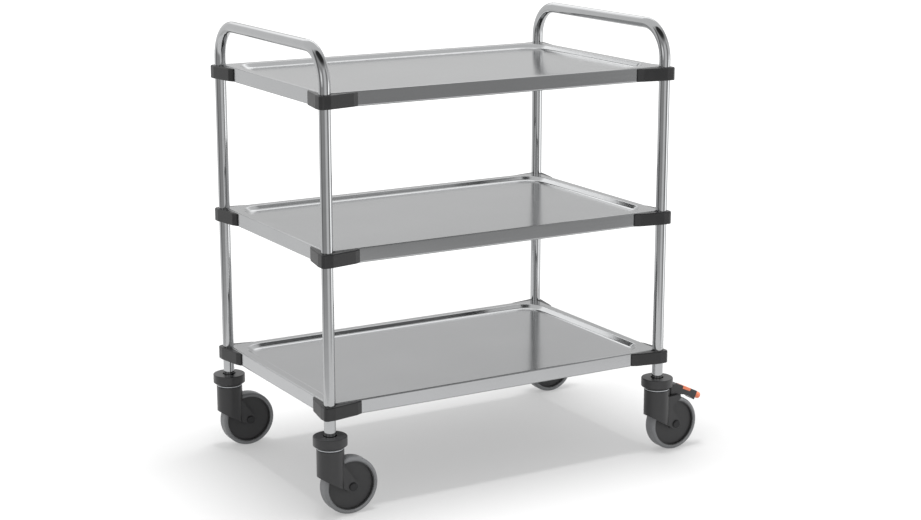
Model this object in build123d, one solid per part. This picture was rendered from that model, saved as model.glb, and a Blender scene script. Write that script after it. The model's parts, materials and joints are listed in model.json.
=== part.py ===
from build123d import *
import os
from math import atan2, cos, degrees, radians, sin, tan

# Three-shelf serving trolley, in millimetres.
# X runs along the long side, Y away from the front, Z up from the floor.
# The origin lies on the floor under the middle of the overall box.

# Frame of two bent tubes
tube_diameter = 25.0
tube_wall = 1.5
bend_radius = 75.0  # on the tube's axis
grip_rise = 89.5  # axis of the push grip above the top shelf

# Shelves: the leg tubes stand on the corners of this outline
shelf_length = 840.0
shelf_width = 525.0
top_shelf_height = 896.0
bottom_shelf_rise = 67.4  # top of the bottom shelf above the caster collars
sheet = 1.2
apron_height = 32.0
rim_width = 20.0  # flat border round the sunk deck
slope_run = 12.0  # plan width of the slope from the rim to the deck
deck_depth = 9.0
deck_corner_radius = 18.0
rim_bend = 4.0  # rounding where the rim turns down to the deck
deck_bend = 6.0  # rounding where the slope meets the deck
apron_bend = 3.0  # outside radius between rim and apron
hem_bend = 4.0  # outside radius between apron and hem
hem_width = 14.0  # lower edge of the apron, folded in
tube_notch_gap = 0.3

# Corner connectors
connector_drop = 2.0  # top of a connector below the shelf's top
connector_height = 28.5
connector_arm = 74.0  # from the tube's axis to the end of an arm
connector_wall = 6.0  # plastic round the tube
connector_flat = 5.0  # flat front of the block round the tube, beyond the tube's axis
connector_corner = 9.0  # rounding of the block's outer corner
connector_arm_thickness = 8.0  # of an arm where its end bevel starts
connector_arm_end = 2.5  # thickness of an arm at its end
connector_end_bevel = 12.0
connector_top_edge = 1.8  # chamfer along the upper outer edges
connector_edge = 0.8  # chamfer along the lower outer edges
connector_rib = 3.5  # rib behind the apron
connector_rib_length = 48.0
boss_reach = 26.0  # end of the screw boss, from the tube's axis
boss_diameter = 13.0
snug = 0.1  # gap between pieces that are fixed to each other

# Corner screws
screw_diameter = 6.0
screw_head_diameter = 11.0
screw_head_height = 3.5
screw_length = 19.0

# Wheels
wheel_diameter = 125.0
wheel_width = 32.0
tyre_thickness = 9.0
tyre_shoulder = 7.0
tyre_bead_inset = 2.0  # the tyre is this much narrower on each side where it meets the rim
rim_lip_width = 2.0
rim_lip_inset = 2.5  # side of the rim lip inside the tyre's side
rim_dish = 4.5  # side of the rim's disc inside its lip
hub_diameter = 30.0
hub_bore_gap = 3.0
axle_diameter = 8.0
axle_head_diameter = 19.0
axle_head_height = 3.5
axle_head_edge = 1.5
bearing_diameter = 22.0
bearing_width = 7.0
running = 0.05  # radial gap of a shaft that turns

# Caster: the swivel axis is the leg's axis, and the wheel trails behind it
trail = 42.0
housing_diameter = 59.0
crown_height = 24.0  # top of the housing above the tyre
housing_edge = 1.5
lower_edge_angle = 30.0  # slope of the housing's lower edge
fork_end_radius = 12.4
fork_arm_thickness = 4.5
fork_shoulder_height = 57.0  # top of a fork arm above the axle
fork_shoulder_x = 17.0  # back of a fork arm's top behind the swivel axis
fork_step = 1.0  # lower edge of a fork arm above that of the barrel
brake_cheek_x = 53.0  # back of a braked arm's cheek behind the swivel axis
brake_cheek_height = 69.0  # top of the cheek above the axle
brake_cheek_depth = 9.0  # length of the cheek's upright back edge
brake_cheek_foot = 35.0  # lowest point of the cheek above the axle
brake_cheek_bend = 9.0  # rounding between the cheek and the arm below it
wheel_side_gap = 1.5
wheel_arch_gap = 2.5
stem_diameter = 12.0
stem_head_diameter = 17.0
stem_head_height = 3.5
stem_head_room = 1.0
stem_floor = 27.0  # length of the housing's bore for the stem
ring_height = 1.6  # steel ring seen between collar and housing
ring_gap = 0.3
collar_diameter = 73.0
collar_foot_inset = 0.5  # foot of the collar's bevel inside the housing's side
collar_bevel = 6.0
collar_height = 19.4
collar_edge = 2.0
collar_seat_depth = 4.0
collar_seat_gap = 2.5
race_width = 7.0
race_height = 6.0
race_middle_radius = 18.0
race_gap = 0.3
expander_start = 8.0  # above the lower end of the tube
expander_length = 36.0
expander_slit = 2.0
expander_slit_length = 26.0
stem_top_room = 5.0  # stem beyond the expander

# Foot brake
pedal_reach = 122.0  # end of the pedal's nose behind the leg's axis
pedal_slope = 24.8
pedal_tip_length = 20.0
pedal_peak_x = 47.0
pedal_end_height = 21.0
pedal_half_width = 14.0
pedal_root_half_width = 12.0
pedal_press = 7.0  # degrees from brake off to brake on
pedal_tyre_gap = 1.0  # between the pressed pedal and the tyre
pedal_pivot_x = 16.0
pedal_boss_radius = 6.0
pedal_ceiling_gap = 1.0
pedal_neck_x = 31.0
pedal_collar_gap = 1.2
pedal_peak_rise = 0.1  # highest point of the pedal above the collar's shoulder
pedal_pin_diameter = 5.0
pedal_pin_inset = 0.5
pedal_edge = 2.5
pocket_wall = 3.4  # plastic between the stem's bore and the brake pocket
pocket_side_gap = 0.5
insert_half_width = 7.0
insert_cover = 3.2  # pedal wall over the insert
insert_thickness = 12.0
insert_depth = 50.0
tip_half_width = 10.0
tip_height = 15.5
tip_drop = 1.0
tip_side_round = 7.0  # rounding along the nose's four sides
tip_round = 6.5  # rounding of its end
tab_start = 21.0  # from the end of the pedal
tab_length = 23.0
tab_height = 6.5  # of the tab's side, down from the pedal's upper face
tab_proud = 0.5
shoe_gap = 2.5  # between brake shoe and tyre with the brake off
shoe_thickness = 6.0
shoe_roof_gap = 0.5  # between brake shoe and pedal
shoe_back_gap = 3.0
shoe_front_x = 14.5
shoe_back_x = 28.5

# Places worked out from the sizes above
tube_radius = tube_diameter / 2
wheel_radius = wheel_diameter / 2
rim_radius = wheel_radius - tyre_thickness
housing_radius = housing_diameter / 2
housing_top = wheel_diameter + crown_height
collar_bottom = housing_top + ring_height + 2 * ring_gap
collar_shoulder = collar_bottom + collar_bevel
collar_top = collar_shoulder + collar_height
leg_foot = collar_top - collar_seat_depth
race_top = collar_bottom + race_height / 2
stem_ledge = housing_top - stem_floor
grip_height = top_shelf_height + grip_rise
connector_radius = tube_radius + connector_wall
fork_inner = wheel_width / 2 + wheel_side_gap
fork_outer = fork_inner + fork_arm_thickness
arch_radius = wheel_radius + wheel_arch_gap
pocket_front = stem_diameter / 2 + pocket_wall
pocket_half_width = pedal_root_half_width + pocket_side_gap
pocket_ceiling = housing_top - race_height / 2 - race_gap - pocket_wall
pedal_pivot_height = pocket_ceiling - pedal_ceiling_gap - pedal_boss_radius
bottom_shelf_height = collar_top + bottom_shelf_rise
shelf_names = ("top", "middle", "bottom")
shelf_pitch = (top_shelf_height - bottom_shelf_height) / (len(shelf_names) - 1)
shelf_tops = [top_shelf_height - row * shelf_pitch for row in range(len(shelf_names))]

left_reach = max(collar_diameter / 2, connector_radius)
middle_shift = (pedal_reach - left_reach) / 2
left_x = -shelf_length / 2 - middle_shift
right_x = shelf_length / 2 - middle_shift
front_y = -shelf_width / 2
back_y = shelf_width / 2
# Each corner has its place and the turn that points its arms along the aprons.
corners = {
    "front_left": (left_x, front_y, 0),
    "front_right": (right_x, front_y, 90),
    "back_right": (right_x, back_y, 180),
    "back_left": (left_x, back_y, 270),
}
braked_corners = ("front_right", "back_right")


def turned(outline, rounded=(), radius=0.0):
    """Turn a closed outline of (radius, height) points about the Z axis, with some corners rounded."""
    face = make_face(Polyline(*outline, close=True))
    if rounded:
        corner_points = [Vector(*outline[index]) for index in rounded]
        picked = [v for v in face.vertices() if any((Vector(v) - p).length < 1e-6 for p in corner_points)]
        face = fillet(picked, radius)
    return revolve(Plane.XZ * face, Axis.Z)


def on_axle(piece):
    """Lay a piece that was turned about Z along the wheel's axle."""
    return Pos(trail, 0, wheel_radius) * Rot(90, 0, 0) * piece


def slab(outline, half_width):
    """Extrude a closed outline of (x, z) points to both sides of the middle plane."""
    face = make_face(Polyline(*outline, close=True))
    return extrude(Plane.XZ * face, amount=half_width, both=True)


def block(low_x, high_x, half_width, low_z, high_z):
    """Box between two x and two z values, centred on the middle plane."""
    middle = Pos((low_x + high_x) / 2, 0, (low_z + high_z) / 2)
    return middle * Box(high_x - low_x, 2 * half_width, high_z - low_z)


def screw_axis():
    """Place of a corner screw on the tube's axis, with Z pointing to the middle of the shelf."""
    level = -connector_drop - connector_height / 2
    return Rot(0, 0, 45) * Pos(0, 0, level) * Rot(0, 90, 0)


# Frame
def bow(x):
    path = FilletPolyline(
        (x, front_y, leg_foot),
        (x, front_y, grip_height),
        (x, back_y, grip_height),
        (x, back_y, leg_foot),
        radius=bend_radius,
    )
    section = Plane(path @ 0, z_dir=path % 0) * (Circle(tube_radius) - Circle(tube_radius - tube_wall))
    tube = sweep(section, path=path)
    hole = Cylinder(screw_diameter / 2 + snug, tube_diameter, align=(Align.CENTER, Align.CENTER, Align.MIN))
    for corner_x, corner_y, turn in corners.values():
        if corner_x == x:
            for shelf_top in shelf_tops:
                tube -= Pos(corner_x, corner_y, shelf_top) * Rot(0, 0, turn) * screw_axis() * hole
    return tube


# Shelves
def sunk_deck(rim, depth, corner_radius):
    """Tool for the sunk part of a shelf: a tapered block hanging from the rim."""
    slope_angle = degrees(atan2(slope_run, deck_depth))
    mouth = RectangleRounded(shelf_length - 2 * rim, shelf_width - 2 * rim, corner_radius)
    return extrude(mouth, amount=depth, dir=(0, 0, -1), taper=slope_angle)


def folded_block(inset):
    """Outer block of a shelf with its bends, drawn in by the sheet's thickness for the inside."""
    block_height = apron_height - 2 * inset
    solid = Box(shelf_length - 2 * inset, shelf_width - 2 * inset, block_height)
    solid = Pos(0, 0, -apron_height / 2) * solid
    solid = fillet(solid.faces().sort_by(Axis.Z)[-1].edges(), apron_bend - inset)
    return fillet(solid.faces().sort_by(Axis.Z)[0].edges(), hem_bend - inset)


def shelf():
    """Pressed sheet shelf with its top face at height zero."""
    mouth_radius = deck_corner_radius + slope_run
    bend_shift = sheet * tan(atan2(deck_depth, slope_run) / 2)
    deck = sunk_deck(rim_width, deck_depth, mouth_radius)
    deck = fillet(deck.faces().sort_by(Axis.Z)[0].edges(), deck_bend)
    under_deck = Pos(0, 0, -sheet) * sunk_deck(rim_width - bend_shift, deck_depth, mouth_radius + bend_shift)
    hollow = folded_block(sheet) - under_deck
    mouth = Pos(0, 0, -apron_height) * Box(
        shelf_length - 2 * hem_width, shelf_width - 2 * hem_width, 2 * (sheet + snug)
    )
    tray = folded_block(0) - deck - hollow - mouth
    lip = [
        edge
        for edge in tray.edges()
        if abs(edge.center().Z) < 1e-6
        and abs(edge.center().X) < shelf_length / 2 - rim_width + 1e-6
        and abs(edge.center().Y) < shelf_width / 2 - rim_width + 1e-6
    ]
    tray = fillet(lip, rim_bend)
    notch = Cylinder(tube_radius + tube_notch_gap, 3 * apron_height)
    seat_top = -sheet - snug
    seat = Cylinder(connector_radius + snug, apron_height, align=(Align.CENTER, Align.CENTER, Align.MAX))
    for side_x in (-1, 1):
        for side_y in (-1, 1):
            corner = Pos(side_x * shelf_length / 2, side_y * shelf_width / 2, 0)
            tray -= corner * notch
            tray -= corner * Pos(0, 0, seat_top) * seat
    return tray


# Corner connectors
def connector_arm_plan():
    """Plan of one arm, along X: half of the block round the tube, then a tapering arm with a bevelled end."""
    outline = [
        (-connector_radius, -snug),
        (-connector_radius, -connector_radius),
        (connector_flat, -connector_radius),
        (connector_arm - connector_end_bevel, -connector_arm_thickness),
        (connector_arm, -connector_arm_end),
        (connector_arm, -snug),
    ]
    face = make_face(Polyline(*outline, close=True))
    outer_corner = min(face.vertices(), key=lambda vertex: vertex.X + vertex.Y)
    return fillet(outer_corner, connector_corner)


def connector():
    """Moulded corner: block round the tube, two arms outside the aprons, ribs behind them, screw boss."""
    arm = connector_arm_plan()
    plan = Circle(connector_radius) + arm + mirror(arm, Plane((0, 0, 0), z_dir=(1, -1, 0)))
    solid = Pos(0, 0, -connector_drop) * extrude(plan, amount=-connector_height)
    for face_index, edge_size in ((-1, connector_top_edge), (0, connector_edge)):
        face_edges = solid.faces().sort_by(Axis.Z)[face_index].edges()
        outside = [e for e in face_edges if min(e.center().X, e.center().Y) < -connector_arm_end]
        solid = chamfer(outside, edge_size)

    rib_low = -apron_height + hem_bend + snug
    rib_high = -apron_bend - snug
    rib_offset = sheet + snug + connector_rib / 2
    rib = Box(connector_rib_length, connector_rib, rib_high - rib_low)
    rib = Pos(connector_rib_length / 2, rib_offset, (rib_low + rib_high) / 2) * rib
    boss = Cylinder(boss_diameter / 2, boss_reach, align=(Align.CENTER, Align.CENTER, Align.MIN))
    hole = Cylinder(screw_diameter / 2 + snug, 2 * boss_reach, align=(Align.CENTER, Align.CENTER, Align.MIN))
    solid += [rib, mirror(rib, Plane((0, 0, 0), z_dir=(1, -1, 0))), screw_axis() * boss]
    return solid - screw_axis() * hole - Cylinder(tube_radius + snug, 3 * apron_height)


def corner_screw():
    """Screw with a low round head, its shank running from the boss into the tube."""
    shank = screw_diameter / 2
    head = screw_head_diameter / 2
    outline = [
        (0, boss_reach - screw_length),
        (shank, boss_reach - screw_length),
        (shank, boss_reach),
        (head, boss_reach),
        (head, boss_reach + screw_head_height / 2),
        (head - screw_head_height / 2, boss_reach + screw_head_height),
        (0, boss_reach + screw_head_height),
    ]
    return screw_axis() * turned(outline)


# Caster pieces fixed to the leg
def collar():
    foot = housing_radius - collar_foot_inset
    rim = collar_diameter / 2
    seat = tube_radius + collar_seat_gap
    bore = stem_diameter / 2 + snug
    race_inner = race_middle_radius - race_width / 2 - race_gap
    race_outer = race_middle_radius + race_width / 2 + race_gap
    outline = [
        (bore, collar_bottom),
        (race_inner, collar_bottom),
        (race_inner, race_top),
        (race_outer, race_top),
        (race_outer, collar_bottom),
        (foot, collar_bottom),
        (rim, collar_shoulder),
        (rim, collar_top),
        (seat, collar_top),
        (seat, leg_foot),
        (bore, leg_foot),
    ]
    return turned(outline, rounded=(7,), radius=collar_edge)


def swivel_bearing():
    """Bearing ring in its races, with a thin flange that shows between collar and housing."""
    inner = race_middle_radius - race_width / 2
    outer = race_middle_radius + race_width / 2
    flange = housing_radius - collar_foot_inset
    bottom = housing_top - race_height / 2
    outline = [
        (inner, bottom),
        (outer, bottom),
        (outer, housing_top + ring_gap),
        (flange, housing_top + ring_gap),
        (flange, collar_bottom - ring_gap),
        (outer, collar_bottom - ring_gap),
        (outer, race_top),
        (inner, race_top),
    ]
    return turned(outline)


def stem():
    """King pin: headed below the housing's ledge, with a bevelled top end."""
    shaft = stem_diameter / 2
    head = stem_head_diameter / 2
    top = leg_foot + expander_start + expander_length + stem_top_room
    head_top = stem_ledge - running
    outline = [
        (0, head_top - stem_head_height),
        (head, head_top - stem_head_height),
        (head, head_top),
        (shaft, head_top),
        (shaft, top - shaft / 2),
        (shaft / 2, top),
        (0, top),
    ]
    return turned(outline)


def expander():
    """Slit sleeve that the stem spreads against the inside of the leg tube."""
    outer = tube_radius - tube_wall - snug
    inner = stem_diameter / 2 + snug
    bottom = leg_foot + expander_start
    top = bottom + expander_length
    sleeve = turned([(inner, bottom), (outer, bottom), (outer, top), (inner, top)])
    slit = Pos(0, 0, top - expander_slit_length / 2) * Box(tube_diameter, expander_slit, expander_slit_length)
    return sleeve - slit - Rot(0, 0, 90) * slit


# Caster pieces that swivel
def fork_side(braked):
    """Side view of a fork arm: from the barrel to a round end at the axle, with a cheek beside the brake."""
    slope = radians(lower_edge_angle)
    lower_edge = wheel_radius + (trail * sin(slope) - fork_end_radius) / cos(slope) + fork_step
    shoulder = wheel_radius + fork_shoulder_height
    edges = (Pos(trail, wheel_radius) * Circle(fork_end_radius)).edges()
    edges += [Line((0, lower_edge), (0, shoulder)), Line((0, shoulder), (fork_shoulder_x, shoulder))]
    side = make_hull(edges)
    if braked:
        cheek_top = wheel_radius + brake_cheek_height
        cheek_outline = [
            (0, wheel_radius + brake_cheek_foot),
            (fork_shoulder_x, wheel_radius + brake_cheek_foot),
            (brake_cheek_x, cheek_top - brake_cheek_depth),
            (brake_cheek_x, cheek_top),
            (0, cheek_top),
        ]
        side += make_face(Polyline(*cheek_outline, close=True))
        between = [v for v in side.vertices() if fork_shoulder_x < v.X < brake_cheek_x]
        side = fillet([v for v in between if v.Y > wheel_radius + brake_cheek_foot], brake_cheek_bend)
    return side


def brake_pocket():
    """Space in the housing for the brake shoe and the pedal's root, with the way out at the back."""
    back = 2 * housing_radius
    under_race = race_middle_radius + race_width / 2 + race_gap + pocket_wall / 2
    pocket = block(pocket_front, back, pocket_half_width, wheel_radius, pocket_ceiling)
    pocket += block(under_race, back, pocket_half_width, wheel_radius, 2 * housing_top)
    return pocket + block(pedal_neck_x - pocket_side_gap, back, fork_inner, wheel_radius, 2 * housing_top)


def housing(braked):
    """Moulded hood with its fork: a barrel cut off by a slope, arms to the axle, wheel arch inside."""
    low = wheel_radius - fork_end_radius
    up = (Align.CENTER, Align.CENTER, Align.MIN)
    down = (Align.CENTER, Align.CENTER, Align.MAX)
    body = Pos(0, 0, low) * Cylinder(housing_radius, housing_top - low, align=up)
    body = chamfer(body.faces().sort_by(Axis.Z)[-1].edges(), housing_edge)
    reach = 4 * wheel_diameter
    below = Pos(0, 0, -fork_end_radius) * Box(reach, reach, reach, align=down)
    body -= Pos(trail, 0, wheel_radius) * Rot(0, lower_edge_angle, 0) * below
    body += extrude(Plane.XZ * fork_side(braked), amount=fork_outer, both=True)
    body -= on_axle(Cylinder(arch_radius, 2 * fork_inner))
    body -= on_axle(Cylinder(axle_diameter / 2 + snug, 4 * fork_outer))
    ledge = Pos(0, 0, stem_ledge)
    body -= ledge * Cylinder(stem_diameter / 2 + running, 4 * stem_floor)
    body -= ledge * Cylinder(stem_head_diameter / 2 + stem_head_room, crown_height, align=down)
    race_inner = race_middle_radius - race_width / 2 - race_gap
    race_outer = race_middle_radius + race_width / 2 + race_gap
    race_bottom = housing_top - race_height / 2 - race_gap
    race = Cylinder(race_outer, crown_height, align=up) - Cylinder(race_inner, crown_height, align=up)
    body -= Pos(0, 0, race_bottom) * race
    if braked:
        body -= brake_pocket()
        pin_hole = Cylinder(pedal_pin_diameter / 2 + snug, 4 * housing_radius)
        body -= Pos(pedal_pivot_x, 0, pedal_pivot_height) * Rot(90, 0, 0) * pin_hole
    return body


def axle():
    """Axle with a low round head outside each fork arm."""
    shaft = axle_diameter / 2
    head = axle_head_diameter / 2
    seat = fork_outer + snug
    end = seat + axle_head_height
    half = [(0, end), (head - axle_head_edge, end), (head, end - axle_head_edge), (head, seat), (shaft, seat)]
    outline = half + [(radius, -height) for radius, height in reversed(half)]
    return on_axle(turned(outline))


# Wheel pieces
def tyre():
    """Solid rubber tyre with a rounded shoulder and a narrower foot on the rim."""
    side = wheel_width / 2
    bead = side - tyre_bead_inset
    belly = rim_radius + tyre_thickness / 4
    outline = [
        (rim_radius, -bead),
        (belly, -side),
        (wheel_radius, -side),
        (wheel_radius, side),
        (belly, side),
        (rim_radius, bead),
    ]
    return on_axle(turned(outline, rounded=(2, 3), radius=min(tyre_shoulder, 0.7 * tyre_thickness)))


def rim():
    """Wheel body: bearing seats in the hub, dished disc and a lip under the tyre."""
    lip = wheel_width / 2 - rim_lip_inset
    disc = lip - rim_dish
    outside = rim_radius - snug
    lip_inner = outside - rim_lip_width
    seat = bearing_diameter / 2 + snug
    bore = axle_diameter / 2 + hub_bore_gap
    shoulder = lip - bearing_width
    half = [
        (bore, shoulder),
        (seat, shoulder),
        (seat, lip),
        (hub_diameter / 2, lip),
        (hub_diameter / 2, disc),
        (lip_inner, disc),
        (lip_inner, lip),
        (outside, lip),
    ]
    outline = half + [(radius, -height) for radius, height in reversed(half)]
    return on_axle(turned(outline))


def wheel_bearings():
    """Two bearings in the hub's seats, one from each side."""
    inner = axle_diameter / 2 + running
    outer = bearing_diameter / 2
    end = wheel_width / 2 - rim_lip_inset
    start = end - bearing_width + snug
    ring = turned([(inner, start), (outer, start), (outer, end), (inner, end)])
    return Compound([on_axle(ring), on_axle(Rot(180, 0, 0) * ring)])


# Foot brake pieces
nose_reach = (
    (pedal_tip_length - tip_round) * cos(radians(pedal_slope))
    - (tip_drop + tip_round) * sin(radians(pedal_slope))
    + tip_round
)
pedal_end_x = pedal_reach - nose_reach
pedal_peak_height = collar_shoulder + pedal_peak_rise
pedal_end_top = pedal_peak_height - (pedal_end_x - pedal_peak_x) * tan(radians(pedal_slope))
# Upper face of the pedal: X points out to the tip, Z stands up from the face.
pedal_face = Plane(
    (pedal_end_x, 0, pedal_end_top),
    x_dir=(cos(radians(pedal_slope)), 0, -sin(radians(pedal_slope))),
    z_dir=(sin(radians(pedal_slope)), 0, cos(radians(pedal_slope))),
)


def insert_core(grow):
    """Core of the orange insert with the tab across the pedal, or grown, the tool for its seat."""
    core_top = -insert_cover + grow
    core_bottom = -insert_cover - insert_thickness - grow
    core = block(-insert_depth - grow, pedal_tip_length / 2, insert_half_width + grow, core_bottom, core_top)
    tab_end = -tab_start - tab_length
    tab_half_width = pedal_half_width + tab_proud
    return core + block(tab_end - grow, grow - tab_start, tab_half_width, -tab_height - grow, tab_proud)


def pedal():
    """Lever over the wheel: pivot boss inside the housing, arched underside, sloping upper face."""
    slope = radians(pedal_slope)
    root_top = pedal_pivot_height + pedal_boss_radius
    outline = [
        (pedal_pivot_x, pedal_pivot_height - pedal_boss_radius),
        (pedal_pivot_x, root_top),
        (race_middle_radius + race_width, root_top),
        (pedal_neck_x, collar_bottom - pedal_collar_gap),
        (collar_diameter / 2 + pedal_collar_gap, collar_shoulder - pedal_collar_gap),
        (pedal_peak_x, pedal_peak_height),
        (pedal_end_x, pedal_end_top),
        (pedal_end_x - pedal_end_height * sin(slope), pedal_end_top - pedal_end_height * cos(slope)),
    ]
    lever = slab(outline, pedal_half_width)
    upper = [e for e in lever.edges().filter_by(Axis.Y, reverse=True) if e.center().Z > pedal_end_top]
    lever = fillet([e for e in upper if e.center().X > pedal_peak_x], pedal_edge)
    root_space = block(0, pedal_neck_x, pedal_root_half_width, 0, collar_top)
    lever &= root_space + block(pedal_neck_x, 2 * pedal_reach, pedal_half_width, 0, collar_top)
    pivot = Pos(pedal_pivot_x, 0, pedal_pivot_height)
    over_tyre = on_axle(Cylinder(wheel_radius + pedal_tyre_gap, 4 * pedal_half_width))
    lever -= pivot * Rot(0, -pedal_press, 0) * pivot.inverse() * over_tyre
    shoe_room = wheel_radius + shoe_gap + shoe_thickness + shoe_roof_gap
    over_shoe = on_axle(Cylinder(shoe_room, 4 * pedal_half_width))
    lever -= over_shoe & block(0, shoe_back_x + shoe_back_gap, 2 * pedal_half_width, 0, collar_top)
    across = pivot * Rot(90, 0, 0)
    lever += across * Cylinder(pedal_boss_radius, 2 * pedal_root_half_width)
    lever -= across * Cylinder(pedal_pin_diameter / 2 + running, 4 * pedal_half_width)
    return lever - pedal_face.location * insert_core(snug)


def pedal_insert():
    """Orange insert: the core with its tab, and a rounded nose beyond the pedal's end."""
    nose = block(snug, pedal_tip_length, tip_half_width, -tip_drop - tip_height, -tip_drop)
    nose = fillet(nose.edges().filter_by(Axis.X), tip_side_round)
    nose = fillet(nose.faces().sort_by(Axis.X)[-1].edges(), tip_round)
    return pedal_face.location * (insert_core(0) + nose)


def pedal_pin():
    half_length = (housing_radius**2 - pedal_pivot_x**2) ** 0.5 - pedal_pin_inset
    pin = Cylinder(pedal_pin_diameter / 2, 2 * half_length)
    return Pos(pedal_pivot_x, 0, pedal_pivot_height) * Rot(90, 0, 0) * pin


def brake_shoe():
    """Block over the tyre with a face that follows the tread."""
    ring = Cylinder(wheel_radius + shoe_gap + shoe_thickness, 2 * pedal_root_half_width)
    ring -= Cylinder(wheel_radius + shoe_gap, 4 * pedal_root_half_width)
    window = block(shoe_front_x, shoe_back_x, pedal_half_width, wheel_diameter - tyre_thickness, housing_top)
    return on_axle(ring) & window


# Nodes
def build():
    nodes = {"left_bow": bow(left_x), "right_bow": bow(right_x)}
    pressed = shelf()
    moulded_corner = connector()
    screw = corner_screw()
    screws = []
    for shelf_name, shelf_top in zip(shelf_names, shelf_tops):
        nodes[f"{shelf_name}_shelf"] = Pos(-middle_shift, 0, shelf_top) * pressed
        for corner_name, (x, y, turn) in corners.items():
            place = Pos(x, y, shelf_top) * Rot(0, 0, turn)
            nodes[f"{shelf_name}_{corner_name}_connector"] = place * moulded_corner
            screws.append(place * screw)
    nodes["corner_screws"] = Compound([piece.solid() for piece in screws])

    plain = {
        "collar": collar(),
        "stem": stem(),
        "expander": expander(),
        "axle": axle(),
        "rim": rim(),
        "tyre": tyre(),
        "wheel_bearings": wheel_bearings(),
    }
    brake = {
        "brake_pedal": pedal(),
        "pedal_insert": pedal_insert(),
        "pedal_pin": pedal_pin(),
        "brake_shoe": brake_shoe(),
    }
    housings = {braked: housing(braked) for braked in (False, True)}
    bearing = swivel_bearing()
    bearings = []
    for corner_name, (x, y, turn) in corners.items():
        braked = corner_name in braked_corners
        pieces = dict(plain, housing=housings[braked])
        if braked:
            pieces.update(brake)
        for piece_name, piece in pieces.items():
            nodes[f"{corner_name}_{piece_name}"] = Pos(x, y, 0) * piece
        bearings.append(Pos(x, y, 0) * bearing)
    nodes["swivel_bearings"] = Compound([piece.solid() for piece in bearings])
    return nodes


os.makedirs("parts", exist_ok=True)
for node_name, shape in build().items():
    export_step(shape, os.path.join("parts", f"{node_name}.step"))
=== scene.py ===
import json
import math

import bmesh
import bpy
from mathutils import Matrix, Vector


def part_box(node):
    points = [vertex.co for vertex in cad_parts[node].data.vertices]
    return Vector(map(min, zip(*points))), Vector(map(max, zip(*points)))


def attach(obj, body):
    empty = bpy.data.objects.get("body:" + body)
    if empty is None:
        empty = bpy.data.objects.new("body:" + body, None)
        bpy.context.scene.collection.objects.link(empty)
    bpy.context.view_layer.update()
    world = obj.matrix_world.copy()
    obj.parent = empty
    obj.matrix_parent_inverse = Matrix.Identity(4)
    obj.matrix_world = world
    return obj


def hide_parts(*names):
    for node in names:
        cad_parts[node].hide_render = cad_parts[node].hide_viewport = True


# Serving trolley: finishes for the steel, plastic and rubber pieces, with a pale floor and soft light.
# Lengths are in metres in the part's own frame; pattern sizes are given in millimetres.

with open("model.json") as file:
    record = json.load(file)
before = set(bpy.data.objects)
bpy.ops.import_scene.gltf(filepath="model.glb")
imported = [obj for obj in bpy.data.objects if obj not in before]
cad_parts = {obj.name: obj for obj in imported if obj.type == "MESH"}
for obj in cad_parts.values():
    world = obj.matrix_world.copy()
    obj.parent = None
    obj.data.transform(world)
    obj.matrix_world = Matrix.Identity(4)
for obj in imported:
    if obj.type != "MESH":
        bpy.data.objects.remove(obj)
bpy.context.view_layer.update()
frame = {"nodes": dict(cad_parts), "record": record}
nodes = frame["nodes"]
scene = bpy.context.scene

# Camera at the photograph's viewing angle, for a picture of 921 by 520 pixels
CAMERA_PLACE = (-2.1395, -3.6799, 1.4518)
CAMERA_HEADING = 30.24  # degrees from +Y towards +X
CAMERA_DIP = 13.31  # degrees below the horizon
CAMERA_LENS = 74.61  # millimetres
SENSOR_WIDTH = 36.0  # millimetres

# Pressed shelves: a flat rim, a deck sunk below it with round corners, an apron and a folded hem
SHEET = 0.0012
RIM_WIDTH = 0.020
RIM_BEND = 0.004
SLOPE_RUN = 0.012  # plan width of the slope from the rim to the deck
DECK_DEPTH = 0.009
DECK_CORNER = 0.042  # plan radius of the deck's corners
DECK_BEND = 0.014
APRON_BEND = 0.003
HEM_BEND = 0.004
HEM_WIDTH = 0.014
HEM_GAP = 0.001  # between the folded hems of two sides, where they meet at a corner
TUBE_NOTCH = 0.0128  # radius of the cut-out round a leg tube
CONNECTOR_NOTCH = 0.0186  # radius of the cut-out below the rim, round a connector
BEND_STEPS = 6
CORNER_STEPS = 14

# Finishes: where most of a noise pattern's values lie, and how far a roughness strays from its mean
NOISE_SPAN = {"From Min": 0.3, "From Max": 0.7}
MOULDED_SPREAD = 0.02
TURNED_SPREAD = 0.06

# Studio
ROOM_LIGHT = 1.25
SOFT_BOX_SIZE = 1.2  # sets how fast the floor shadow fades at its edges
SOFT_BOX_HEIGHT = 4.0
SOFT_BOX_POWER = 335.0
FLOOR_RADIUS = 1.35
FLOOR_COLOUR = "#868686"
FLOOR_GLOW = 0.37  # light that comes through the floor

# Cards that the steel reflects, on a dome round the studio
CARD_RADIUS = 6.0
CARD_HEIGHT = 0.5
CARD_LIGHT = 2.35  # brightness of a white card
WALL_TONE = 0.42
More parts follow.
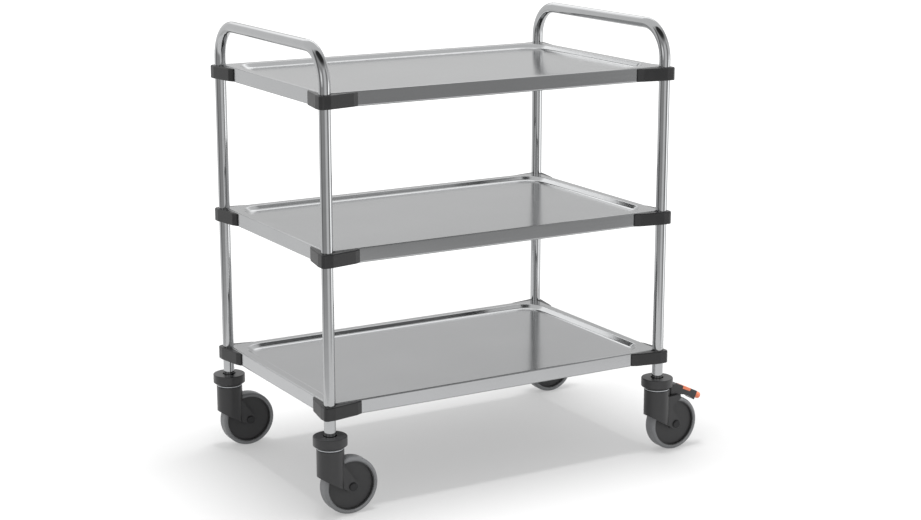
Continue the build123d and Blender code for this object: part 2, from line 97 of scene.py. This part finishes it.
# Each card's heading from +Y towards +X, half width, bottom and top elevation, half width of its soft edge
# (all in degrees) and tone
CARDS = (
    (195, 88, 46, 90, 15, 0.02),  # black cloth overhead in front: the dark patches where a grip bends down
    (250, 40, -90, 42, 8, 0.20),  # grey card on the left: the shaded left half of each tube
    (250, 10, 2, 22, 6, 0.65),  # window in the grey card: the light spot at a grip's bends
    (287, 9, -90, 42, 7, 0.10),  # black flag on the left: the dark line near a tube's left edge
    (154, 14, -90, 40, 7, 0.16),  # black flag in front: a tube's dark line on the right, dark front aprons
    (123, 8, -90, 5, 7, 1.10),  # white strip at the front right: the bright streak on each tube
    (95, 20, 20, 48, 8, 0.24),  # grey card on the right
    (28, 26, 0, 24, 8, 0.31),  # grey card at the back: the even grey of the decks
    (12, 20, 26, 42, 9, 0.78),  # white strip high at the back: bright right-hand slopes and grip tops
    (34, 18, 30, 46, 6, 0.85),  # white strip beside it: the light line at the foot of a back slope
    (0, 180, -90, -17, 7, 0.48),  # ground beyond the floor
    (-12, 40, -60, -18, 6, 0.36),  # shaded ground at the back: the grey underside of a grip
)


def linear(hex_colour):
    """Turn an sRGB hex value into linear RGBA."""
    channels = [int(hex_colour[i : i + 2], 16) / 255 for i in (1, 3, 5)]
    return [c / 12.92 if c <= 0.04045 else ((c + 0.055) / 1.055) ** 2.4 for c in channels] + [1.0]


def per_metre(size_mm):
    """Pattern scale that gives features of a real size in millimetres."""
    return 1000.0 / size_mm


def node(tree, kind, inputs=None, **settings):
    """Add a node with its settings; an input is a plain value or a link given as (node, output name)."""
    made = tree.nodes.new(kind)
    for name, value in settings.items():
        setattr(made, name, value)
    for name, value in (inputs or {}).items():
        if isinstance(value, tuple) and isinstance(value[0], bpy.types.Node):
            tree.links.new(value[0].outputs[value[1]], made.inputs[name])
        else:
            made.inputs[name].default_value = value
    return made


def start_material(name):
    """New material with an empty node tree."""
    material = bpy.data.materials.new(name)
    material.use_nodes = True
    tree = material.node_tree
    tree.nodes.clear()
    return material, tree


def finish_material(tree, surface):
    """Join the surface to the material's output."""
    node(tree, "ShaderNodeOutputMaterial", {"Surface": (surface, "BSDF")})


def polished_stainless_tube():
    """Drawn stainless tube, mirror polished: sharp streaks of light with a faint haze from the belt."""
    material, tree = start_material("stainless_tube_belt_polished")
    place = node(tree, "ShaderNodeTexCoord")
    haze = node(
        tree,
        "ShaderNodeTexNoise",
        {"Vector": (place, "Object"), "Scale": per_metre(25), "Detail": 3.0},
    )
    # The belt leaves rings about a tenth of a millimetre apart, drawn at 2 mm so that they show.
    belt = node(
        tree,
        "ShaderNodeMapping",
        {"Vector": (place, "Object"), "Scale": (per_metre(60), per_metre(60), per_metre(2))},
    )
    rings = node(tree, "ShaderNodeTexNoise", {"Vector": (belt, "Vector"), "Scale": 1.0, "Detail": 2.0})
    rough = node(
        tree,
        "ShaderNodeMapRange",
        {"Value": (haze, "Fac"), **NOISE_SPAN, "To Min": 0.05, "To Max": 0.09},
    )
    bump = node(tree, "ShaderNodeBump", {"Height": (rings, "Fac"), "Strength": 0.02, "Distance": 0.0005})
    tint = node(tree, "ShaderNodeValToRGB", {"Fac": (haze, "Fac")})
    tint.color_ramp.elements[0].color = linear("#A9AAAB")
    tint.color_ramp.elements[1].color = linear("#B1B2B3")
    surface = node(
        tree,
        "ShaderNodeBsdfPrincipled",
        {
            "Base Color": (tint, "Color"),
            "Metallic": 1.0,
            "Roughness": (rough, "Result"),
            "Normal": (bump, "Normal"),
        },
    )
    finish_material(tree, surface)
    return material


def brushed_stainless_sheet():
    """Cold rolled stainless sheet, brushed along the shelf: soft reflections on top; below, a rougher face
    whose darker colour is painted shade.
    """
    material, tree = start_material("stainless_sheet_brushed")
    place = node(tree, "ShaderNodeTexCoord")
    # Brush marks are about 0.1 mm wide, drawn at 2.5 mm so that they show.
    along = node(
        tree,
        "ShaderNodeMapping",
        {"Vector": (place, "Object"), "Scale": (per_metre(220), per_metre(2.5), per_metre(2.5))},
    )
    marks = node(
        tree,
        "ShaderNodeTexNoise",
        {"Vector": (along, "Vector"), "Scale": 1.0, "Detail": 4.0, "Roughness": 0.6},
    )
    cloud = node(
        tree,
        "ShaderNodeTexNoise",
        {"Vector": (place, "Object"), "Scale": per_metre(180), "Detail": 2.0},
    )
    facing = node(tree, "ShaderNodeSeparateXYZ", {"Vector": (place, "Normal")})
    # Faces turned down are rougher, as an unbrushed underside is, and darker in colour, which is painted
    # shade.
    below = node(
        tree,
        "ShaderNodeMapRange",
        {"Value": (facing, "Z"), "From Min": -0.4, "From Max": -0.7},
    )
    brushed = node(
        tree,
        "ShaderNodeMapRange",
        {"Value": (marks, "Fac"), "From Min": 0.25, "From Max": 0.75, "To Min": 0.13, "To Max": 0.19},
    )
    rough = node(
        tree,
        "ShaderNodeMix",
        {"Factor": (below, "Result"), "A": (brushed, "Result"), "B": 0.55},
    )
    bump = node(tree, "ShaderNodeBump", {"Height": (marks, "Fac"), "Strength": 0.04, "Distance": 0.0005})
    tint = node(tree, "ShaderNodeValToRGB", {"Fac": (cloud, "Fac")})
    tint.color_ramp.elements[0].color = linear("#AAABAC")
    tint.color_ramp.elements[1].color = linear("#B3B4B5")
    # Painted shade: the base colour turns darker on faces that look down.
    colour = node(
        tree,
        "ShaderNodeMixRGB",
        {"Fac": (below, "Result"), "Color1": (tint, "Color"), "Color2": linear("#A0A1A2")},
    )
    surface = node(
        tree,
        "ShaderNodeBsdfPrincipled",
        {
            "Base Color": (colour, "Color"),
            "Metallic": 1.0,
            "Roughness": (rough, "Result"),
            "Normal": (bump, "Normal"),
        },
    )
    finish_material(tree, surface)
    return material


def moulded(name, dark, light, grain_mm, grain_depth, roughness):
    """Moulded plastic or rubber: the mould's grain breaks the gloss, and the colour is slightly cloudy."""
    material, tree = start_material(name)
    place = node(tree, "ShaderNodeTexCoord")
    # A mould's grain is a few tenths of a millimetre, drawn coarser so that it shows.
    grain = node(
        tree,
        "ShaderNodeTexNoise",
        {"Vector": (place, "Object"), "Scale": per_metre(grain_mm), "Detail": 3.0},
    )
    cloud = node(
        tree,
        "ShaderNodeTexNoise",
        {"Vector": (place, "Object"), "Scale": per_metre(30), "Detail": 2.0},
    )
    tint = node(tree, "ShaderNodeValToRGB", {"Fac": (cloud, "Fac")})
    tint.color_ramp.elements[0].color = linear(dark)
    tint.color_ramp.elements[1].color = linear(light)
    rough = node(
        tree,
        "ShaderNodeMapRange",
        {
            "Value": (cloud, "Fac"),
            **NOISE_SPAN,
            "To Min": roughness - MOULDED_SPREAD,
            "To Max": roughness + MOULDED_SPREAD,
        },
    )
    bump = node(
        tree,
        "ShaderNodeBump",
        {"Height": (grain, "Fac"), "Strength": grain_depth, "Distance": 0.0004},
    )
    surface = node(
        tree,
        "ShaderNodeBsdfPrincipled",
        {
            "Base Color": (tint, "Color"),
            "Roughness": (rough, "Result"),
            "Normal": (bump, "Normal"),
            "IOR": 1.49,
        },
    )
    finish_material(tree, surface)
    return material


def turned_steel(name, dark, light, roughness):
    """Turned steel, plated or blackened: a satin metal with fine turning marks."""
    material, tree = start_material(name)
    place = node(tree, "ShaderNodeTexCoord")
    # Turning marks are about a tenth of a millimetre apart, drawn at 3 mm so that they show.
    marks = node(
        tree,
        "ShaderNodeTexNoise",
        {"Vector": (place, "Object"), "Scale": per_metre(3), "Detail": 3.0},
    )
    tint = node(tree, "ShaderNodeValToRGB", {"Fac": (marks, "Fac")})
    tint.color_ramp.elements[0].color = linear(dark)
    tint.color_ramp.elements[1].color = linear(light)
    rough = node(
        tree,
        "ShaderNodeMapRange",
        {
            "Value": (marks, "Fac"),
            **NOISE_SPAN,
            "To Min": roughness - TURNED_SPREAD,
            "To Max": roughness + TURNED_SPREAD,
        },
    )
    surface = node(
        tree,
        "ShaderNodeBsdfPrincipled",
        {"Base Color": (tint, "Color"), "Metallic": 1.0, "Roughness": (rough, "Result")},
    )
    finish_material(tree, surface)
    return material


def studio_floor():
    """Opal acrylic table, lit evenly from below: a plain pale ground with a flat, light grey shadow."""
    material, tree = start_material("acrylic_cast_opal_backlit")
    place = node(tree, "ShaderNodeTexCoord")
    # The matt face is finely textured, which keeps the ground from looking like empty paper.
    texture = node(
        tree,
        "ShaderNodeTexNoise",
        {"Vector": (place, "Object"), "Scale": per_metre(4), "Detail": 2.0},
    )
    bump = node(tree, "ShaderNodeBump", {"Height": (texture, "Fac"), "Strength": 0.02, "Distance": 0.0005})
    surface = node(
        tree,
        "ShaderNodeBsdfPrincipled",
        {
            "Base Color": linear(FLOOR_COLOUR),
            "Roughness": 0.9,
            "Normal": (bump, "Normal"),
            "Emission Color": (1.0, 1.0, 1.0, 1.0),
            "Emission Strength": FLOOR_GLOW,
        },
    )
    finish_material(tree, surface)
    return material


def dress_nodes():
    """Give every piece its finish by the slot that the part's record names for it."""
    # A moulded finish takes its darkest and lightest colour, grain size in millimetres, grain depth and
    # roughness; a turned one takes its two colours and roughness.
    finishes = {
        "polished_tube": polished_stainless_tube(),
        "brushed_sheet": brushed_stainless_sheet(),
        "black_connector": moulded("polypropylene_moulded_grained", "#141415", "#1B1B1C", 1.2, 0.35, 0.38),
        "black_moulding": moulded("nylon_moulded_satin", "#222223", "#272728", 0.8, 0.10, 0.34),
        "wheel_disc": moulded("polypropylene_moulded_smooth", "#222223", "#2A2A2B", 0.8, 0.12, 0.5),
        "grey_tyre": moulded("rubber_moulded_grey", "#646566", "#6C6D6F", 1.5, 0.15, 0.5),
        "orange_plastic": moulded("nylon_moulded_orange", "#CE6A45", "#D87A57", 0.8, 0.1, 0.35),
        "brake_rubber": moulded("rubber_moulded_black", "#161616", "#1E1E1E", 1.5, 0.2, 0.8),
        "axle_cap": turned_steel("steel_turned_blackened", "#3A3A3B", "#464647", 0.60),
        "plain_steel": turned_steel("steel_turned_zinc_plated", "#A9ABAE", "#BFC1C4", 0.35),
    }
    for piece in frame["record"]["subparts"]:
        mesh = nodes[piece["node"]].data
        mesh.materials.clear()
        mesh.materials.append(finishes[piece["material_slot"]])


def sheet_bend(inset, height, radius, start, end):
    """Stations round a bend of the sheet: inset from the outline, height, tilt of the sheet's outer side."""
    stations = []
    for step in range(BEND_STEPS + 1):
        tilt = math.radians(start + (end - start) * step / BEND_STEPS)
        stations.append((inset + radius * math.sin(tilt), height + radius * math.cos(tilt), tilt))
    return stations


def folded_corner(inset, height):
    """Plan of the sheet's edge round a leg, from one side to the other, with the inward direction."""
    # The rim comes close to the tube; the apron and the hem leave room for the connector.
    notch = TUBE_NOTCH if height > -SHEET else CONNECTOR_NOTCH
    side = max(math.sqrt(max(notch**2 - inset**2, 0)), inset + HEM_GAP)
    reach = math.hypot(inset, side)
    first = math.atan2(side, inset)
    for step in range(CORNER_STEPS + 1):
        turn = first + (math.pi / 2 - 2 * first) * step / CORNER_STEPS
        inward = Vector((1, 0)) if step < CORNER_STEPS / 2 else Vector((0, 1))
        yield Vector((math.cos(turn), math.sin(turn))) * reach, inward


def sunk_corner(inset):
    """Plan of a corner of the sunk deck, from one side to the other, with the inward direction."""
    middle = RIM_WIDTH + SLOPE_RUN + DECK_CORNER
    for step in range(CORNER_STEPS + 1):
        turn = math.pi / 2 * step / CORNER_STEPS
        inward = Vector((math.cos(turn), math.sin(turn)))
        yield Vector((middle, middle)) - inward * (middle - inset), inward


def shelf_ring(shell, low, high, corner, height, tilt, depth):
    """Ring of points round a shelf, counterclockwise from above, at a depth below the sheet's outer side."""
    ring = []
    for quarter in range(4):
        turn = Matrix.Rotation(math.radians(90 * quarter), 2)
        start = Vector((high.x if quarter in (1, 2) else low.x, high.y if quarter in (2, 3) else low.y))
        for place, inward in corner:
            plan = start + turn @ (place - inward * depth * math.sin(tilt))
            ring.append(shell.verts.new((plan.x, plan.y, high.z + height - depth * math.cos(tilt))))
    return ring


def add_pressed_shelf(name):
    """Shelf pressed from one sheet: from the hem's edge up the apron and over the rim to the deck."""
    low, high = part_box(name)
    apron = high.z - low.z
    slope = math.degrees(math.atan2(DECK_DEPTH, SLOPE_RUN))
    half_bend = math.tan(math.radians(slope / 2))
    folded = [(HEM_WIDTH, -apron, -math.pi)]
    folded += sheet_bend(HEM_BEND, HEM_BEND - apron, HEM_BEND, -180, -90)
    folded += sheet_bend(APRON_BEND, -APRON_BEND, APRON_BEND, -90, 0)
    sunk = sheet_bend(RIM_WIDTH - RIM_BEND * half_bend, -RIM_BEND, RIM_BEND, 0, slope)
    foot = RIM_WIDTH + SLOPE_RUN + DECK_BEND * half_bend
    sunk += sheet_bend(foot, DECK_BEND - DECK_DEPTH, -DECK_BEND, slope, 0)

    shell = bmesh.new()
    outer = []
    inner = []
    for index, (inset, height, tilt) in enumerate(folded + sunk):
        corner = list(folded_corner(inset, height) if index < len(folded) else sunk_corner(inset))
        outer.append(shelf_ring(shell, low, high, corner, height, tilt, 0))
        inner.append(shelf_ring(shell, low, high, corner, height, tilt, SHEET))
    behind = {front: back for ring, far in zip(outer, inner) for front, back in zip(ring, far)}
    count = len(outer[0])
    faces = [outer[-1]]
    for index in range(len(outer) - 1):
        ring, above = outer[index], outer[index + 1]
        for point in range(count):
            round_leg = index + 1 < len(folded) and point % (CORNER_STEPS + 1) < CORNER_STEPS
            if not round_leg:
                after = (point + 1) % count
                faces.append([ring[point], ring[after], above[after], above[point]])
    for face in faces:
        shell.faces.new(face).smooth = True
        shell.faces.new([behind[point] for point in reversed(face)]).smooth = True
    for edge in [e for e in shell.edges if e.is_boundary and e.verts[0] in behind]:
        here = edge.link_loops[0].vert
        there = edge.other_vert(here)
        shell.faces.new([there, here, behind[here], behind[there]])
    bmesh.ops.delete(shell, geom=[v for v in shell.verts if not v.link_faces], context="VERTS")
    mesh = bpy.data.meshes.new(name + "_sheet")
    shell.to_mesh(mesh)
    shell.free()
    mesh.materials.append(nodes[name].data.materials[0])
    shelf = bpy.data.objects.new(name + "_sheet", mesh)
    scene.collection.objects.link(shelf)
    # Flat faces keep their own shading up to the bends.
    shelf.modifiers.new("flat_faces_first", "WEIGHTED_NORMAL").keep_sharp = True
    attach(shelf, "frame")
    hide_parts(name)


def add_floor():
    """Round floor, wide enough to lie under the whole shadow."""
    bpy.ops.mesh.primitive_circle_add(vertices=128, radius=FLOOR_RADIUS, fill_type="NGON", location=(0, 0, 0))
    floor = bpy.context.object
    floor.name = "studio_floor"
    floor.data.materials.append(studio_floor())


def add_room_light():
    """White studio all round."""
    world = bpy.data.worlds.new("studio")
    scene.world = world
    world.use_nodes = True
    tree = world.node_tree
    tree.nodes.clear()
    light = node(tree, "ShaderNodeBackground", {"Color": (1.0, 1.0, 1.0, 1.0), "Strength": ROOM_LIGHT})
    node(tree, "ShaderNodeOutputWorld", {"Surface": (light, "Background")})


def add_soft_box():
    """Soft box over the middle of the shelves, hidden from the steel, which reflects the cards."""
    low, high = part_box("top_shelf")
    lamp = bpy.data.lights.new("soft_box", "AREA")
    lamp.size = SOFT_BOX_SIZE
    lamp.energy = SOFT_BOX_POWER
    box = bpy.data.objects.new("soft_box", lamp)
    box.location = ((low.x + high.x) / 2, (low.y + high.y) / 2, SOFT_BOX_HEIGHT)
    box.visible_glossy = False
    scene.collection.objects.link(box)


def card_turn(angle):
    """Cosine of the angle away from a card's middle; an edge past half a circle is never met."""
    return math.cos(math.radians(angle)) if 0 < angle < 180 else math.copysign(2.0, 90 - angle)


def card_level(elevation):
    """Height on the card dome at an elevation; an edge past straight up or down is never met."""
    level = math.sin(math.radians(elevation)) if abs(elevation) < 90 else math.copysign(2, elevation)
    return CARD_RADIUS * level


def add_card_dome():
    """Dome of grey and white cards round the studio, met only by reflections: it streaks the steel."""
    shell = bmesh.new()
    bmesh.ops.create_uvsphere(shell, u_segments=96, v_segments=48, radius=CARD_RADIUS)
    mesh = bpy.data.meshes.new("card_dome")
    shell.to_mesh(mesh)
    shell.free()
    dome = bpy.data.objects.new("card_dome", mesh)
    dome.location = (0, 0, CARD_HEIGHT)
    scene.collection.objects.link(dome)
    material, tree = start_material("card_board_grey_and_white")
    place = node(tree, "ShaderNodeTexCoord")
    level = node(tree, "ShaderNodeSeparateXYZ", {"Vector": (place, "Object")})
    flat = node(
        tree,
        "ShaderNodeVectorMath",
        {0: (place, "Object"), 1: (1.0, 1.0, 0.0)},
        operation="MULTIPLY",
    )
    outward = node(tree, "ShaderNodeVectorMath", {0: (flat, "Vector")}, operation="NORMALIZE")
    wall = [WALL_TONE, WALL_TONE, WALL_TONE, 1.0]
    for heading, half_width, bottom, top, edge, tone in CARDS:
        aim = math.radians(heading)
        turn = node(
            tree,
            "ShaderNodeVectorMath",
            {0: (outward, "Vector"), 1: (math.sin(aim), math.cos(aim), 0.0)},
            operation="DOT_PRODUCT",
        )
        sides = node(
            tree,
            "ShaderNodeMapRange",
            {
                "Value": (turn, "Value"),
                "From Min": card_turn(half_width + edge),
                "From Max": card_turn(half_width - edge),
            },
            interpolation_type="SMOOTHSTEP",
        )
        foot = node(
            tree,
            "ShaderNodeMapRange",
            {
                "Value": (level, "Z"),
                "From Min": card_level(bottom - edge),
                "From Max": card_level(bottom + edge),
                "To Max": (sides, "Result"),
            },
            interpolation_type="SMOOTHSTEP",
        )
        cover = node(
            tree,
            "ShaderNodeMapRange",
            {
                "Value": (level, "Z"),
                "From Min": card_level(top + edge),
                "From Max": card_level(top - edge),
                "To Max": (foot, "Result"),
            },
            interpolation_type="SMOOTHSTEP",
        )
        mix = node(
            tree,
            "ShaderNodeMixRGB",
            {"Fac": (cover, "Result"), "Color1": wall, "Color2": (tone, tone, tone, 1.0)},
        )
        wall = (mix, "Color")
    glow = node(tree, "ShaderNodeEmission", {"Color": wall, "Strength": CARD_LIGHT})
    node(tree, "ShaderNodeOutputMaterial", {"Surface": (glow, "Emission")})
    mesh.materials.append(material)
    dome.visible_camera = False
    dome.visible_diffuse = False
    dome.visible_transmission = False
    dome.visible_shadow = False


def add_camera():
    """Plain camera without lens shift or depth of field."""
    lens = bpy.data.cameras.new("photo_camera")
    lens.lens = CAMERA_LENS
    lens.sensor_width = SENSOR_WIDTH
    camera = bpy.data.objects.new("photo_camera", lens)
    camera.location = CAMERA_PLACE
    camera.rotation_euler = (math.radians(90 - CAMERA_DIP), 0, math.radians(-CAMERA_HEADING))
    scene.collection.objects.link(camera)
    scene.camera = camera


dress_nodes()
for shelf_name in ("top_shelf", "middle_shelf", "bottom_shelf"):
    add_pressed_shelf(shelf_name)
add_floor()
add_room_light()
add_soft_box()
add_card_dome()
add_camera()
scene.view_settings.view_transform = "Standard"
